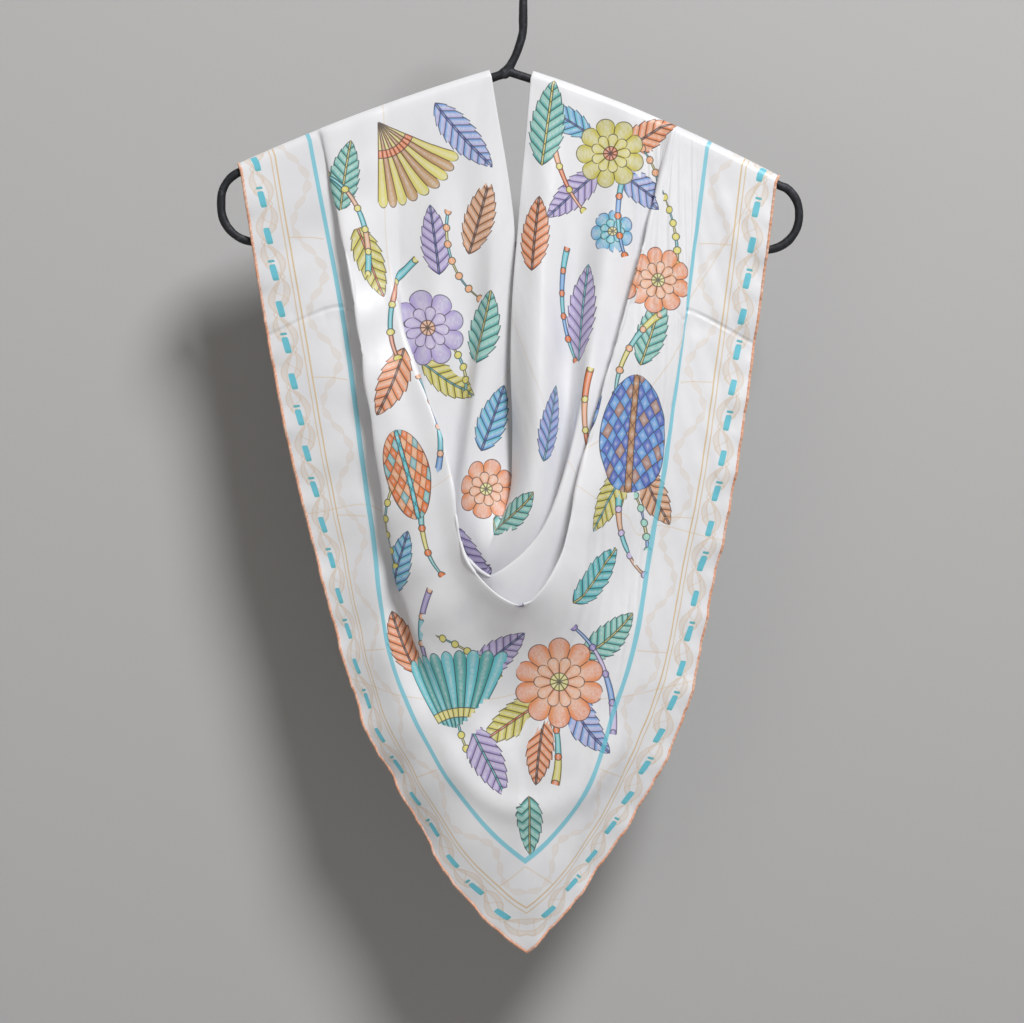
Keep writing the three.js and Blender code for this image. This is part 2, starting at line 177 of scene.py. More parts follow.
def along(values, position, slopes):
    """A smooth value along evenly spaced ones; slopes holds those given, by side and index."""
    values = np.asarray(values, float)
    free = np.gradient(values)
    before, after = free.copy(), free.copy()
    for (side, index), slope in slopes.items():
        (before if side == "before" else after)[index] = slope
    i = np.clip(np.floor(position).astype(int), 0, len(values) - 2)
    t = position - i
    return (
        (2 * t**3 - 3 * t**2 + 1) * values[i]
        + (t**3 - 2 * t**2 + t) * after[i]
        + (3 * t**2 - 2 * t**3) * values[i + 1]
        + (t**3 - t**2) * before[i + 1]
    )


def row_points(row, positions, layer):
    """Points of a row, at positions from 0 at the left arm to 8 at the right, and past them over the rods."""
    (left_x, left_out), (right_x, right_out) = row["left"], row["right"]
    foot_x, foot_z, foot_out = row["foot"]
    last = 2 * STATIONS
    inside = np.clip(positions, 0, last)
    splay = row.get("splay")
    points = np.stack([
        along([*left_x, foot_x, *right_x[::-1]], inside,
              {("before", STATIONS): splay[0], ("after", STATIONS): splay[1]} if splay else {}),
        -np.maximum(along([*left_out, foot_out, *right_out[::-1]], inside,
                          {("after", 0): 0, ("before", last): 0}), layer),
        np.zeros_like(inside),
    ], -1)
    for arm, xs, outs, here, past in (
        (ARMS["left"], left_x, left_out, positions <= STATIONS, -positions),
        (ARMS["right"], right_x, right_out, positions > STATIONS, positions - last),
    ):
        down = np.where(here, np.minimum(inside, last - inside), 0) / STATIONS
        drop = (1 - row["round"]) * down + row["round"] * (1 - (1 - down) ** DROP_POWER)
        top = arm_axis(arm, xs[0])[0]
        points[here, 2] = (top + (foot_z - top) * drop)[here]
        over = past > 0
        turn = 90 * past[over]
        radius = layer + (outs[0] - layer) * np.cos(np.radians(turn)) ** 2
        points[over] = wrap_point(arm, np.full(len(turn), float(xs[0])), radius, turn)
    return points


def thread(knots, counts):
    """Centripetal curves through knots[row, column], with counts[k] steps from knot k to the next."""
    first, last = 2 * knots[0] - knots[1], 2 * knots[-1] - knots[-2]
    padded = np.concatenate([first[None], knots, last[None]])
    gaps = np.sqrt(np.maximum(np.linalg.norm(np.diff(padded, axis=0), axis=-1), 1e-6))[..., None]
    out = []
    for k, count in enumerate(counts):
        p0, p1, p2, p3 = padded[k : k + 4]
        g0, g1, g2 = gaps[k : k + 3]
        leave = g1 * ((p1 - p0) / g0 - (p2 - p0) / (g0 + g1) + (p2 - p1) / g1)
        arrive = g1 * ((p2 - p1) / g1 - (p3 - p1) / (g1 + g2) + (p3 - p2) / g2)
        for step in range(count):
            t = step / count
            out.append(
                p1 + leave * t + (-3 * p1 + 3 * p2 - 2 * leave - arrive) * t**2
                + (2 * p1 - 2 * p2 + leave + arrive) * t**3
            )
    out.append(knots[-1])
    return np.stack(out)


def shares(knots, total):
    """How many steps each gap between knots gets, by its mean length, so that they add up to total."""
    lengths = np.linalg.norm(np.diff(knots, axis=0), axis=-1).mean(axis=1)
    ends = np.round(np.cumsum(lengths) / lengths.sum() * total).astype(int)
    counts = np.diff(np.concatenate([[0], ends]))
    return [int(c) for c in np.maximum(counts, 2)]


def normals_of(points):
    """Unit normals of a grid points[row, column], towards the viewer or away from the rod."""
    down = np.gradient(points, axis=0)
    across = np.gradient(points, axis=1)
    normal = np.cross(down, across)
    return normal / np.maximum(np.linalg.norm(normal, axis=-1, keepdims=True), 1e-9)


def path_length(points, axis):
    """Distance from the first point along an axis of a grid."""
    steps = np.linalg.norm(np.diff(points, axis=axis), axis=-1)
    start = np.zeros_like(np.take(steps, [0], axis=axis))
    return np.concatenate([start, np.cumsum(steps, axis=axis)], axis=axis)


def cloth_positions(columns):
    """Positions of the columns: a few over each rod and the rest in even steps."""
    over = np.array([1, 0.8, 0.6, 0.4, 0.2])
    middle = np.linspace(0, 2 * STATIONS, columns + 1 - 2 * len(over))
    return np.concatenate([-over, middle, 2 * STATIONS + over[::-1]])


def drape(rows, positions, total, layer):
    """A grid points[row, column] through the rows, and the index in it of each listed row."""
    knots = np.stack([row_points(row, positions, layer) for row in rows])
    counts = shares(knots, total)
    points = thread(knots, counts)
    free = (positions >= 0) & (positions <= 2 * STATIONS)
    points[:, free, 1] = np.minimum(points[:, free, 1], -layer)
    return points, np.concatenate([[0], np.cumsum(counts)])


def flat_places(points, line_row, side):
    """The place (a, b) of each point on the flat square, in metres; side is 1 in front and -1 at the rear."""
    hem_run = path_length(points[-1], 0)
    neck_run = path_length(points[0], 0)
    foot = int(np.argmin(points[-1, :, 2]))

    def from_foot(run, reach):
        left = (run - run[foot]) / run[foot] * reach
        right = (run - run[foot]) / (run[-1] - run[foot]) * reach
        return np.where(np.arange(len(run)) < foot, left, right)

    hem_a = from_foot(hem_run, HEM_CUT)
    neck_a = from_foot(neck_run, NECK_CUT)
    depth = (HALF_DIAGONAL - np.abs(neck_a)) / math.sqrt(2)
    run = path_length(points, 0)
    above = 1 - run[:line_row] / run[line_row]
    below = 1 - (run[line_row:] - run[line_row]) / (run[-1] - run[line_row])
    inset = np.concatenate([LINE_INSET + (depth - LINE_INSET) * above, LINE_INSET * below])
    share = inset / depth
    a = hem_a + (neck_a - hem_a) * share
    soft = 0.15 * np.clip((share - 0.3) * 1.4, 0, 1)
    bent = np.sqrt(hem_a**2 + (soft * HEM_CUT) ** 2) - soft * HEM_CUT
    b = (HALF_DIAGONAL - bent) * (1 - share)
    return np.stack([a, side * b], -1)


def edge_distance(flat):
    """Distance from the nearest hem on the flat square, in metres."""
    return (HALF_DIAGONAL - np.abs(flat[..., 0]) - np.abs(flat[..., 1])) / math.sqrt(2)


def arithmetic(operation, reflected=False):
    """A method that adds one Math node, with the operands the other way round where it is reflected."""
    def method(self, *others):
        operands = (*others, self) if reflected else (self, *others)
        return self.finish.node("Math", {"operation": operation}, *operands)
    return method


class Dye:
    """A number, a place or a colour inside a material. Arithmetic on numbers adds Math nodes."""

    def __init__(self, finish, socket):
        self.finish = finish
        self.socket = socket

    __add__, __radd__ = arithmetic("ADD"), arithmetic("ADD", reflected=True)
    __sub__, __rsub__ = arithmetic("SUBTRACT"), arithmetic("SUBTRACT", reflected=True)
    __mul__, __rmul__ = arithmetic("MULTIPLY"), arithmetic("MULTIPLY", reflected=True)
    __truediv__, __rtruediv__ = arithmetic("DIVIDE"), arithmetic("DIVIDE", reflected=True)
    __pow__, __abs__ = arithmetic("POWER"), arithmetic("ABSOLUTE")
    __lt__, __gt__ = arithmetic("LESS_THAN"), arithmetic("GREATER_THAN")
    at_most, at_least = arithmetic("MINIMUM"), arithmetic("MAXIMUM")
    fract, sine = arithmetic("FRACT"), arithmetic("SINE")

    def ramp(self, start, end):
        """0 before start and 1 past end, with a smooth rise between; start may be the larger."""
        return self.finish.node("MapRange", {"interpolation_type": "SMOOTHSTEP"}, self, start, end)


class Finish:
    """A material under construction, around its one Principled shader."""

    def __init__(self, name, **constants):
        self.material = bpy.data.materials.new(name)
        self.material.use_nodes = True
        self.tree = self.material.node_tree
        self.surface = self.tree.nodes["Principled BSDF"]
        for socket, value in constants.items():
            self.surface.inputs[socket.replace("_", " ")].default_value = value

    def feed(self, socket, value):
        if isinstance(value, Dye):
            self.tree.links.new(value.socket, socket)
        elif hasattr(value, "__len__") and len(value) == 3 and socket.type == "RGBA":
            socket.default_value = (*value, 1)
        else:
            socket.default_value = value

    def node(self, kind, settings, *values, out=0, **named):
        """Adds a node, sets it up, feeds its sockets in order and by name, and returns one output."""
        made = self.tree.nodes.new("ShaderNode" + kind)
        for setting, value in settings.items():
            setattr(made, setting, value)
        for index, value in enumerate(values):
            self.feed(made.inputs[index], value)
        for socket, value in named.items():
            self.feed(made.inputs[socket.replace("_", " ")], value)
        return Dye(self, made.outputs[out])

    def parts(self, place):
        split = self.tree.nodes.new("ShaderNodeSeparateXYZ")
        self.feed(split.inputs[0], place)
        return [Dye(self, split.outputs[k]) for k in range(3)]

    def over(self, under, dye, amount):
        """A colour with another laid over it by an amount from 0 to 1."""
        mix = self.tree.nodes.new("ShaderNodeMix")
        mix.data_type = "RGBA"
        for index, value in ((0, amount), (6, under), (7, dye)):
            self.feed(mix.inputs[index], value)
        return Dye(self, mix.outputs[2])

    def attribute(self, name, out):
        return self.node("Attribute", {"attribute_name": name}, out=out)

    def object_place(self):
        return self.node("TexCoord", {}, out=3)

    def wear(self, socket, value):
        self.feed(self.surface.inputs[socket], value)

    def seen_from_front(self):
        """The material, with nothing of it seen from behind."""
        behind = self.node("NewGeometry", {}, out=6)
        mixed = self.node("MixShader", {}, behind)
        for index, shader in ((1, self.surface), (2, self.tree.nodes.new("ShaderNodeBsdfTransparent"))):
            self.tree.links.new(shader.outputs[0], mixed.socket.node.inputs[index])
        self.tree.links.new(mixed.socket, self.tree.nodes["Material Output"].inputs["Surface"])
        return self.material

    def relief(self, height, depth, strength=1.0):
        """A bump of a height from 0 to 1, depth metres deep."""
        self.wear("Normal", self.node("Bump", {}, Strength=strength, Distance=depth, Height=height))


# Dyes of the print, as linear colours.
INK = (0.035, 0.028, 0.04)
SILK_WHITE = (0.86, 0.865, 0.89)
GOLD = (0.72, 0.50, 0.22)
BEIGE = (0.72, 0.55, 0.38)
AQUA = (0.13, 0.58, 0.72)
DYES = {
    "aqua": (0.13, 0.58, 0.66), "sky": (0.16, 0.38, 0.76), "blue": (0.10, 0.17, 0.56),
    "teal": (0.05, 0.38, 0.36), "mint": (0.38, 0.72, 0.61), "olive": (0.50, 0.45, 0.05),
    "lemon": (0.76, 0.69, 0.17), "tan": (0.51, 0.26, 0.12), "brown": (0.27, 0.11, 0.05),
    "lilac": (0.36, 0.29, 0.62), "mauve": (0.60, 0.51, 0.79), "orange": (0.79, 0.20, 0.04),
    "apricot": (0.86, 0.44, 0.24),
}
PALE = (0.86, 0.87, 0.88)
LEAF, BLOSSOM, FAN, POD, TENDRIL, STALK = range(6)

# Half the blur of an edge and half the width of an outline, in metres.
SOFT = 0.00022
OUTLINE = 0.00036

# The edging, in metres from the hem: where its bands start and end, and how often they repeat along it.
SCROLL_BAND = (0.003, 0.0205)
SCROLL_MIDDLE = 0.0118
SCROLL_REPEAT = 0.052
VEIN_REPEAT = 0.0173
FROND_BAND = (0.0275, 0.0465)
FROND_REPEAT = 0.064
TOOTH_REPEAT = 0.0214
GOLD_LINES = ((0.0215, 0.0004, 0.7), (0.0245, 0.0005, 0.85))
TICK_REPEAT = 0.1
DASH_MIDDLE = 0.011
DASH_REPEAT = 0.026
DASH_LENGTH = 0.0058
DASH_WIDTH = 0.0022
TURN = 2 * math.pi


def centred(run, repeat, shift):
    """Distance along the hem from the middle of the nearest repeat."""
    return ((run * (1 / repeat) + shift).fract() - 0.5) * repeat


def border_print(f, dye, a, b):
    """Edging of the square: a threaded ribbon of dashes, gold lines, a scroll and the broad aqua line."""
    side_a, side_b = abs(a), abs(b)
    inset = (HALF_DIAGONAL - side_a - side_b) * math.sqrt(0.5)
    run = (side_a - side_b) * math.sqrt(0.5)

    def line(centre, half):
        return abs(inset - centre).ramp(half + SOFT, half - SOFT)

    def wave(repeat, shift=0.0):
        return (run * (TURN / repeat) + shift).sine()

    swell = abs(wave(SCROLL_REPEAT, 0.6))
    band = (inset > SCROLL_BAND[0]) * (inset < SCROLL_BAND[1])
    for sign, start in ((1, 0.0), (-1, 1.1)):
        curve = wave(SCROLL_REPEAT, start) * (sign * 0.0058) + SCROLL_MIDDLE
        edge = abs(inset - curve) - swell * 0.0021
        dye = f.over(dye, BEIGE, edge.ramp(SOFT, -SOFT) * band * 0.3)
        dye = f.over(dye, BEIGE, abs(edge).ramp(0.0008, 0.0001) * band * 0.45)
    vein = abs(inset - SCROLL_MIDDLE - wave(VEIN_REPEAT) * 0.0045 - wave(SCROLL_REPEAT) * 0.002)
    dye = f.over(dye, BEIGE, vein.ramp(0.0009, 0.0001) * band * 0.5)

    inner = (inset > FROND_BAND[0]) * (inset < FROND_BAND[1])
    frond = abs(inset - 0.036 - wave(FROND_REPEAT, 0.5) * 0.0075) - abs(wave(TOOTH_REPEAT)) * 0.0026
    dye = f.over(dye, BEIGE, frond.ramp(SOFT, -SOFT) * inner * 0.24)
    dye = f.over(dye, BEIGE, abs(frond).ramp(0.0005, 0.0001) * inner * 0.22)
    tick = centred(run, TICK_REPEAT, 0.5) + (inset - 0.025) * 0.12
    dye = f.over(dye, GOLD, abs(tick).ramp(0.0006, 0.0001) * (inset > 0.025) * (inset < 0.047) * 0.5)
    for centre, half, strength in GOLD_LINES:
        dye = f.over(dye, GOLD, line(centre, half) * strength)

    step = centred(run, DASH_REPEAT, 0.5)
    across = abs(inset - DASH_MIDDLE + step * 0.1) / DASH_WIDTH
    dash = (abs(step + 0.001) / DASH_LENGTH) ** 6 + across**6
    piece = (abs(step - 0.0072) / 0.0009) ** 6 + across**6
    other = (run * (1 / (2 * DASH_REPEAT)) + 0.25).fract() > 0.5
    ribbon = dash.ramp(1.25, 0.8).at_least(piece.ramp(1.3, 0.7) * other) * (side_a > 0.009)
    dye = f.over(dye, f.over(AQUA, DYES["teal"], abs(step).ramp(0.003, 0.007) * 0.5), ribbon * 0.95)
    return f.over(dye, AQUA, line(LINE_INSET, 0.0016) * 0.8)


def seam(phase):
    """0 at whole numbers and 0.5 half way between them."""
    return 0.5 - abs(phase.fract() - 0.5)


def parity(phase):
    """1 between each odd whole number and the next one, and 0 elsewhere."""
    return (phase * 0.5).fract() > 0.5


def carried(f, layer):
    """Measures and dyes of the motif that a point lies in, on one layer of the print."""
    x, y, live = f.parts(f.attribute(f"motif_place_{layer}", 1))
    kind, count, width = f.parts(f.attribute(f"motif_shape_{layer}", 1))
    size = f.attribute(f"motif_size_{layer}", 2)
    dyes = [f.attribute(f"motif_{which}_{layer}", 1) for which in ("first", "second", "accent")]
    return x, y, live > 0.999, kind, count, width, size, dyes


def inked(f, dye, fill, body, lines, live):
    """A motif laid over the cloth, with its outline and inner lines in ink; body is negative inside it."""
    stroke = abs(body).at_most(lines).ramp(OUTLINE + SOFT, OUTLINE - SOFT)
    seen = body.ramp(OUTLINE + SOFT, OUTLINE - SOFT) * live
    return f.over(dye, f.over(fill, INK, stroke * 0.88), seen * 0.97)


def motif_print(f, dye, layer, pencil):
    """Leaves, blossoms, fans and pods, each drawn in the local measures that the cloth carries for it."""
    x, y, live, kind, count, width, size, (first, second, accent) = carried(f, layer)
    is_kind = [abs(kind - k) < 0.5 for k in (LEAF, BLOSSOM, FAN, POD)]

    def of_kind(*values):
        return sum((value * mask for value, mask in zip(values[1:], is_kind[1:])), values[0] * is_kind[0])

    p, v = x / size, y / size
    u, side = p + 0.5, abs(v)
    arch = ((1 - u) * u * 4).at_least(0)
    ends = abs(p) - 0.5

    # A saw-edged leaf along x, with a midrib and side veins.
    teeth = (u * count).fract() * 0.16 + 0.92
    leaf = (side - arch**0.75 * (1.2 - u * 0.4) * width * teeth).at_least(ends)
    vein = (u - side * 0.9) * count
    leaf_lines = (seam(vein) / count * 0.75).at_most(abs(side - 0.012))

    # A scaly pod along x, with a rib down its middle.
    pod = (side - arch**0.5 * (1.15 - u * 0.3) * width).at_least(ends)
    lean, sag = v / width * 0.45, (v / width) ** 2 * 0.12
    rising, falling = (u + sag + lean) * count, (u + sag - lean) * count
    scale = seam(rising).at_most(seam(falling))
    pod_lines = (scale / count * 0.8).at_most(abs(side - width * 0.09))
    patch = ((rising * (1 / 3)).fract() < 0.34) * parity(falling)

    # A blossom about the middle, or a fan about its root.
    centre = p + is_kind[2] * 0.5
    radius = (centre * centre + v * v) ** 0.5
    angle = f.node("Math", {"operation": "ARCTAN2"}, v, centre)
    outer, inner = abs((angle * count * 0.5).sine()), abs((angle * count * 0.5 + math.pi / 2).sine())
    ring = inner**0.5 * 0.18 + 0.38
    within = radius < ring
    petal = outer + (inner - outer) * within
    blossom_lines = (petal * radius * 2 / count).at_most(abs(radius - ring)).at_most(abs(radius - 0.2))
    rib = (angle / width * 0.5 + 0.5) * count
    fan = (radius - abs((rib * math.pi).sine()) ** 0.5 * 0.1 - 0.9).at_least((abs(angle) - width) * radius)
    hoop = abs(radius - 0.38)
    fan_lines = (seam(rib) * width * radius * 2 / count).at_most(abs(hoop - 0.045))

    body = of_kind(leaf, radius - outer**0.5 * 0.26 - 0.74, fan, pod) * size
    lines = of_kind(leaf_lines, blossom_lines, fan_lines, pod_lines) * size
    cell = of_kind(seam(vein), petal * 0.5, seam(rib), scale)
    tone = of_kind(vein.fract() * 0.9, (radius - 0.35) * 1.4 + (1.3 - radius * 3.4) * within,
                   parity(rib) * 0.85 + (0.9 - radius) * 0.3, abs(parity(rising) - parity(falling)))
    heart = of_kind(side < 0.012, radius < 0.2, hoop < 0.045, (side < width * 0.09).at_least(patch * 0.8))
    fill = f.over(first, second, tone.at_least(0).at_most(1) + pencil * 0.2)
    fill = f.over(f.over(fill, accent, heart), PALE, cell.ramp(0.12, 0.5) * (0.34 + pencil))
    return inked(f, dye, fill, body, lines, live)


def stem_print(f, dye, pencil):
    """Beaded tendrils and jointed stalks along arcs that pass through their own middle."""
    x, y, live, kind, count, width, size, (first, second, accent) = carried(f, "stems")
    stalk = kind > (TENDRIL + STALK) / 2
    centre = x + size
    radius = (centre * centre + y * y) ** 0.5
    share = f.node("Math", {"operation": "ARCTAN2"}, y, centre) / width * 0.5 + 0.5
    core = abs(radius - size)
    thick = (stalk * 0.0013 + 0.0009) * (1.15 - share * 0.8)
    past = (abs(share - 0.5) - 0.5) * width * size * 2
    joint = ((share * count + 0.5).fract() - 0.5) / count * width * size * 2
    knob = (joint * joint + core * core) ** 0.5 - 0.0026 + stalk * 0.0002 + (past > 0.001) * 0.01
    body = (core - thick).at_least(past).at_most(knob)
    fill = f.over(first, second, parity(share * count) * 0.9 + pencil * 0.2)
    fill = f.over(f.over(fill, accent, knob < 0), PALE, (core / thick).ramp(0.7, 0) * 0.4)
    return inked(f, dye, fill, body, abs(knob), live)


# Thin gold arcs on the ground: the middle and the radius of each, in metres on the flat square.
GOLD_ARCS = ((0.10, -0.42, 0.70), (-0.62, 0.02, 0.52), (0.55, 0.10, 0.43), (0.0, 0.9, 0.46))
TWILL_STEP = 0.0009
CROSS_STEP = 0.0026


def silk_finish():
    f = Finish("printed_silk_twill", Sheen_Weight=0.1, Sheen_Roughness=0.3, Specular_IOR_Level=0.6)
    flat = f.node("UVMap", {"uv_map": "flat_cut"})
    a, b, _ = f.parts(flat)
    cloud = f.node("TexNoise", {}, Vector=flat, Scale=22.0, Detail=3.0)
    dye = f.over(SILK_WHITE, (0.77, 0.78, 0.82), cloud.ramp(0.35, 0.7) * 0.6)
    for centre_a, centre_b, reach in GOLD_ARCS:
        reached = ((a - centre_a) ** 2 + (b - centre_b) ** 2) ** 0.5
        dye = f.over(dye, GOLD, abs(reached - reach).ramp(0.0008, 0.0001) * 0.35)
    pencil = f.node("TexNoise", {}, Vector=flat, Scale=420.0, Detail=2.0) - 0.5
    dye = motif_print(f, dye, "under", pencil)
    dye = stem_print(f, dye, pencil)
    dye = motif_print(f, dye, "over", pencil)
    f.wear("Base Color", border_print(f, dye, a, b))
    thread = ((a - b) * (TURN / TWILL_STEP)).sine() * 0.5 + 0.5
    cross = ((a + b) * (TURN / CROSS_STEP)).sine() * 0.5 + 0.5
    slub = f.node("TexNoise", {}, Vector=flat, Scale=340.0, Detail=2.0)
    f.wear("Roughness", 0.33 + slub * 0.1 + thread * 0.03)
    side_a, side_b = abs(a), abs(b)
    inset = (HALF_DIAGONAL - side_a - side_b) * math.sqrt(0.5)
    creased = abs((side_a - side_b) * math.sqrt(0.5) - 0.033 - inset * 0.35)
    crease = creased.ramp(0.0028, 0) * inset.ramp(0.075, 0.045)
    rumple = f.node("TexNoise", {}, Vector=flat, Scale=26.0, Detail=3.0, Roughness=0.5)
    weave = thread * 0.6 + cross * 0.1 + slub * 0.3
    f.relief(rumple * 0.9 - crease * 0.8 + weave * 0.045, 0.0014, 0.55)
    return f.material


STITCH_STEP = 0.0042


def hem_finish():
    f = Finish("rolled_salmon_hem", Sheen_Weight=0.3)
    place = f.node("UVMap", {"uv_map": "flat_cut"})
    length, around, _ = f.parts(place)
    stitch = ((length + around * 0.0015) * (TURN / STITCH_STEP)).sine()
    cloud = f.node("TexNoise", {}, Vector=f.object_place(), Scale=160.0, Detail=2.0)
    dye = f.over((0.80, 0.40, 0.25), (0.83, 0.62, 0.52), cloud.ramp(0.35, 0.75) * 0.7)
    f.wear("Base Color", f.over(dye, (0.60, 0.22, 0.12), stitch.ramp(0.75, 1.0) * 0.6))
    f.wear("Roughness", 0.5 + cloud * 0.15)
    f.relief(stitch * 0.5 + 0.5, 0.0003, 0.8)
    return f.material


def iron_finish():
    f = Finish("black_wrought_iron", Metallic=0.35)
    place = f.object_place()
    hammer = f.node("TexNoise", {}, Vector=place, Scale=260.0, Detail=3.0, Roughness=0.6)
    grain = f.node("TexNoise", {}, Vector=place, Scale=1400.0, Detail=2.0)
    dye = f.over((0.022, 0.024, 0.029), (0.075, 0.08, 0.09), hammer.ramp(0.5, 0.75) * 0.7)
    f.wear("Base Color", dye)
    f.wear("Roughness", 0.42 + hammer * 0.28)
    f.relief(hammer * 0.7 + grain * 0.3, 0.0006, 0.8)
    return f.material


# Motifs of the print, in three layers that lie over each other: kind, middle on the flat square in centimetres,
# turn in degrees as it hangs, size in centimetres, width, count and three dyes. The size is a length for leaves
# and pods and a radius for the rest. The rear half of the square has all of them too, mirrored.
UNDER_MOTIFS = [
    (LEAF, -36, 15.5, 82, 5.2, 0.2, 8, "teal mint lemon"),
    (LEAF, -30, 4.5, -48, 6.2, 0.17, 9, "sky mauve blue"),
    (LEAF, -25, 4.5, 74, 5.4, 0.2, 8, "apricot tan brown"),
    (LEAF, -26, 9.5, 98, 5, 0.2, 7, "lilac mauve blue"),
    (LEAF, -30.5, 17, -70, 5.4, 0.18, 7, "olive lemon orange"),
    (LEAF, -17.5, 5, 76, 5.4, 0.2, 7, "teal mint lemon"),
    (LEAF, -24.5, 22.5, 248, 5.2, 0.2, 7, "apricot orange brown"),
    (LEAF, -18, 10, -32, 4.8, 0.2, 7, "lemon olive aqua"),
    (LEAF, -8, 2.5, 70, 5, 0.2, 7, "sky aqua blue"),
    (LEAF, 2.5, 4, 40, 4.6, 0.2, 7, "teal mint lemon"),
    (LEAF, -2.5, 7.5, -60, 4.6, 0.2, 7, "lilac mauve blue"),
    (LEAF, -15, 35.5, 70, 4.8, 0.2, 7, "sky aqua blue"),
    (LEAF, 36, 12, 32, 5.4, 0.19, 8, "orange apricot brown"),
    (LEAF, 33.5, 13.5, -34, 5.2, 0.19, 8, "sky mauve blue"),
    (LEAF, 28, 6.5, 222, 5.2, 0.19, 8, "lilac mauve blue"),
    (LEAF, 31, 4.5, 150, 4.4, 0.2, 7, "sky aqua blue"),
    (BLOSSOM, 28, 11, 0, 1.6, 0.2, 7, "aqua sky lemon"),
    (LEAF, 22.5, 10, 84, 7, 0.17, 9, "mauve lilac aqua"),
    (LEAF, 29, 22.5, 72, 5.4, 0.19, 8, "teal mint lemon"),
    (LEAF, 19, 31.5, 238, 5.4, 0.2, 8, "lemon olive aqua"),
    (LEAF, 22.5, 33, -62, 5.4, 0.2, 8, "apricot tan brown"),
    (LEAF, 13.5, 36.5, 52, 5.2, 0.2, 7, "aqua teal lemon"),
    (LEAF, -13.5, 41.5, 112, 4.8, 0.2, 7, "orange apricot brown"),
    (LEAF, -3, 41, 44, 5.4, 0.2, 8, "lilac mauve blue"),
    (LEAF, 13, 41, 42, 5, 0.2, 8, "teal mint lemon"),
    (LEAF, -0.5, 46, 214, 5.6, 0.2, 8, "olive lemon orange"),
    (LEAF, 7.5, 46, -58, 6.2, 0.19, 9, "sky mauve blue"),
    (LEAF, 2.5, 48, 264, 5, 0.19, 8, "orange apricot brown"),
    (LEAF, -43, 5, 60, 7, 0.2, 8, "teal mint olive"),
    (LEAF, 42, 5, 120, 7, 0.2, 8, "orange apricot brown"),
]
STEMS = [
    (STALK, -33, 16, 20, 9, 0.45, 5, "aqua apricot lemon"),
    (TENDRIL, -24.5, 8.5, 200, 6, 0.6, 6, "aqua lemon apricot"),
    (STALK, -27, 18, 170, 8, 0.5, 4, "aqua orange lemon"),
    (TENDRIL, -19.5, 9, 30, 5, 0.6, 6, "aqua lemon lemon"),
    (STALK, -20, 24.5, 12, 10, 0.4, 4, "sky aqua apricot"),
    (TENDRIL, -18.5, 32.5, 176, 7, 0.5, 6, "aqua lemon lemon"),
    (STALK, -15.5, 32, 188, 9, 0.4, 4, "lemon aqua orange"),
    (STALK, 28, 4.5, 200, 9, 0.4, 4, "orange apricot lemon"),
    (TENDRIL, 35.5, 14, 20, 5, 0.6, 6, "aqua lemon apricot"),
    (STALK, 30, 11, 176, 10, 0.36, 5, "sky aqua orange"),
    (STALK, 21.5, 7.5, 186, 12, 0.34, 5, "aqua sky orange"),
    (TENDRIL, 34.5, 18.5, 12, 7, 0.5, 7, "aqua lemon lemon"),
    (STALK, 27, 22.5, 150, 7, 0.5, 4, "lemon aqua apricot"),
    (STALK, 15.5, 15, 188, 9, 0.5, 4, "orange apricot lemon"),
    (TENDRIL, 21, 33.5, 20, 6, 0.5, 6, "sky lemon mint"),
    (STALK, 18, 34.5, 196, 7, 0.5, 4, "aqua apricot mauve"),
    (TENDRIL, -6, 40.5, 60, 6, 0.5, 6, "aqua lemon lemon"),
    (STALK, -10, 41, 186, 8, 0.5, 4, "lilac aqua apricot"),
    (STALK, 11, 43.5, 20, 7, 0.6, 4, "mauve sky lilac"),
    (TENDRIL, -6, 47.5, 200, 6, 0.6, 7, "aqua lemon lemon"),
    (STALK, 5, 46.5, 12, 7, 0.55, 4, "lemon aqua orange"),
]
OVER_MOTIFS = [
    (FAN, -33, 11, -58, 6.2, 0.6, 9, "lemon tan orange"),
    (BLOSSOM, -21.5, 12, 0, 2.7, 0.2, 9, "mauve lilac apricot"),
    (POD, -19.5, 28.5, -74, 6.6, 0.24, 6, "orange apricot aqua"),
    (BLOSSOM, -3.5, 3.5, 10, 2.2, 0.2, 8, "apricot orange lemon"),
    (LEAF, 29, 2.5, 82, 6.2, 0.19, 8, "teal mint lemon"),
    (BLOSSOM, 32.5, 9.5, 0, 2.5, 0.2, 9, "lemon olive orange"),
    (LEAF, 21.5, 2.5, 84, 5.4, 0.18, 8, "orange apricot brown"),
    (BLOSSOM, 31.5, 20, 0, 2.4, 0.2, 9, "apricot orange lemon"),
    (POD, 23.5, 28, 86, 8.4, 0.3, 7, "sky blue tan"),
    (LEAF, 12.5, 7, 76, 5.6, 0.18, 8, "sky lilac aqua"),
    (FAN, -7, 44.5, 98, 7.2, 0.62, 9, "aqua teal lemon"),
    (BLOSSOM, 5.5, 43, 0, 3.2, 0.2, 10, "apricot orange lemon"),
    (LEAF, -4, 48.5, -62, 5.6, 0.2, 8, "mauve lilac aqua"),
    (LEAF, 0.5, 54, -88, 4.2, 0.22, 6, "teal mint lemon"),
    (BLOSSOM, -48, 6, 0, 3, 0.2, 9, "lilac mauve orange"),
    (POD, 47, 6, 80, 8, 0.26, 7, "sky blue tan"),
]
MOTIFS = {"under": UNDER_MOTIFS, "stems": STEMS, "over": OVER_MOTIFS}

# In metres: how far past its outline a motif still counts, and how far the cloth may lie from its middle.
MOTIF_MARGIN = 0.007
MOTIF_REACH = 0.012

# The cloth counts as flat where its normals agree this much, within these shares of a motif's size.
FLAT_ENOUGH = 0.8
FLAT_REACH = {LEAF: 0.6, POD: 0.6, BLOSSOM: 1.1, FAN: 0.8, TENDRIL: 0.7, STALK: 0.7}
FAR_OFF = 9.0
CM = 0.01


